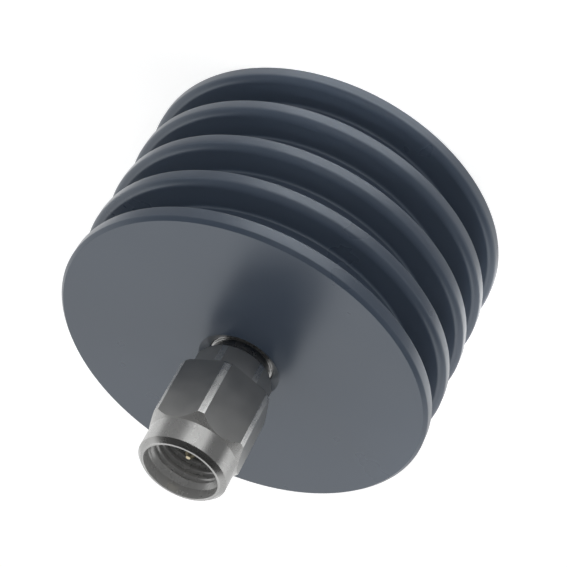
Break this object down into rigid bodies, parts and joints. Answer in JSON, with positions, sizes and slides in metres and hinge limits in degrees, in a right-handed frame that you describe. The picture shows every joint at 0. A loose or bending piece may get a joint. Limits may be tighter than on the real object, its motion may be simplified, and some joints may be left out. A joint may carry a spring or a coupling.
{
  "type": "coaxial termination",
  "caption": "Round finned heat sink with a male coaxial connector on its front face: a matched load that ends a radio-frequency line, with a freely turning hexagonal coupling nut.",
  "frame": {"origin": "centre of the flat rear face of the heat sink, on the surface that the part stands on", "axes": "+Z along the connector's axis, from the rear face to the contact pin; X through two corners of the fixed hexagon"},
  "size_m": [0.034, 0.034, 0.0316],
  "materials": {
    "black_anodised": "black anodised, satin",
    "stainless_body": "passivated, satin turned",
    "stainless_nut": "passivated, satin turned",
    "spring_bronze": "bare spring bronze",
    "gold_plate": "gold plated",
    "bead_plastic": "turned, matt",
    "copper": "bare copper",
    "chip_ceramic": "lapped, with a resistive film",
    "pad_rubber": "soft, matt"
  },
  "bodies": {
    "termination": {"heat_sink": "black_anodised", "connector_body": "stainless_body", "retaining_ring": "spring_bronze", "center_pin": "gold_plate", "rear_conductor": "gold_plate", "support_bead": "bead_plastic", "bead_ring": "gold_plate", "line_sleeve": "gold_plate", "load_housing": "gold_plate", "chip_carrier": "copper", "resistor_chip": "chip_ceramic", "input_tab": "gold_plate", "ground_strap": "gold_plate", "heat_pad": "pad_rubber"},
    "nut": {"coupling_nut": "stainless_nut"}
  },
  "joints": [
    {"name": "nut_spin", "type": "hinge", "parent": "termination", "child": "nut", "pos_m": [0, 0, 0.02713], "axis": [0, 0, 1], "continuous": true}
  ]
}
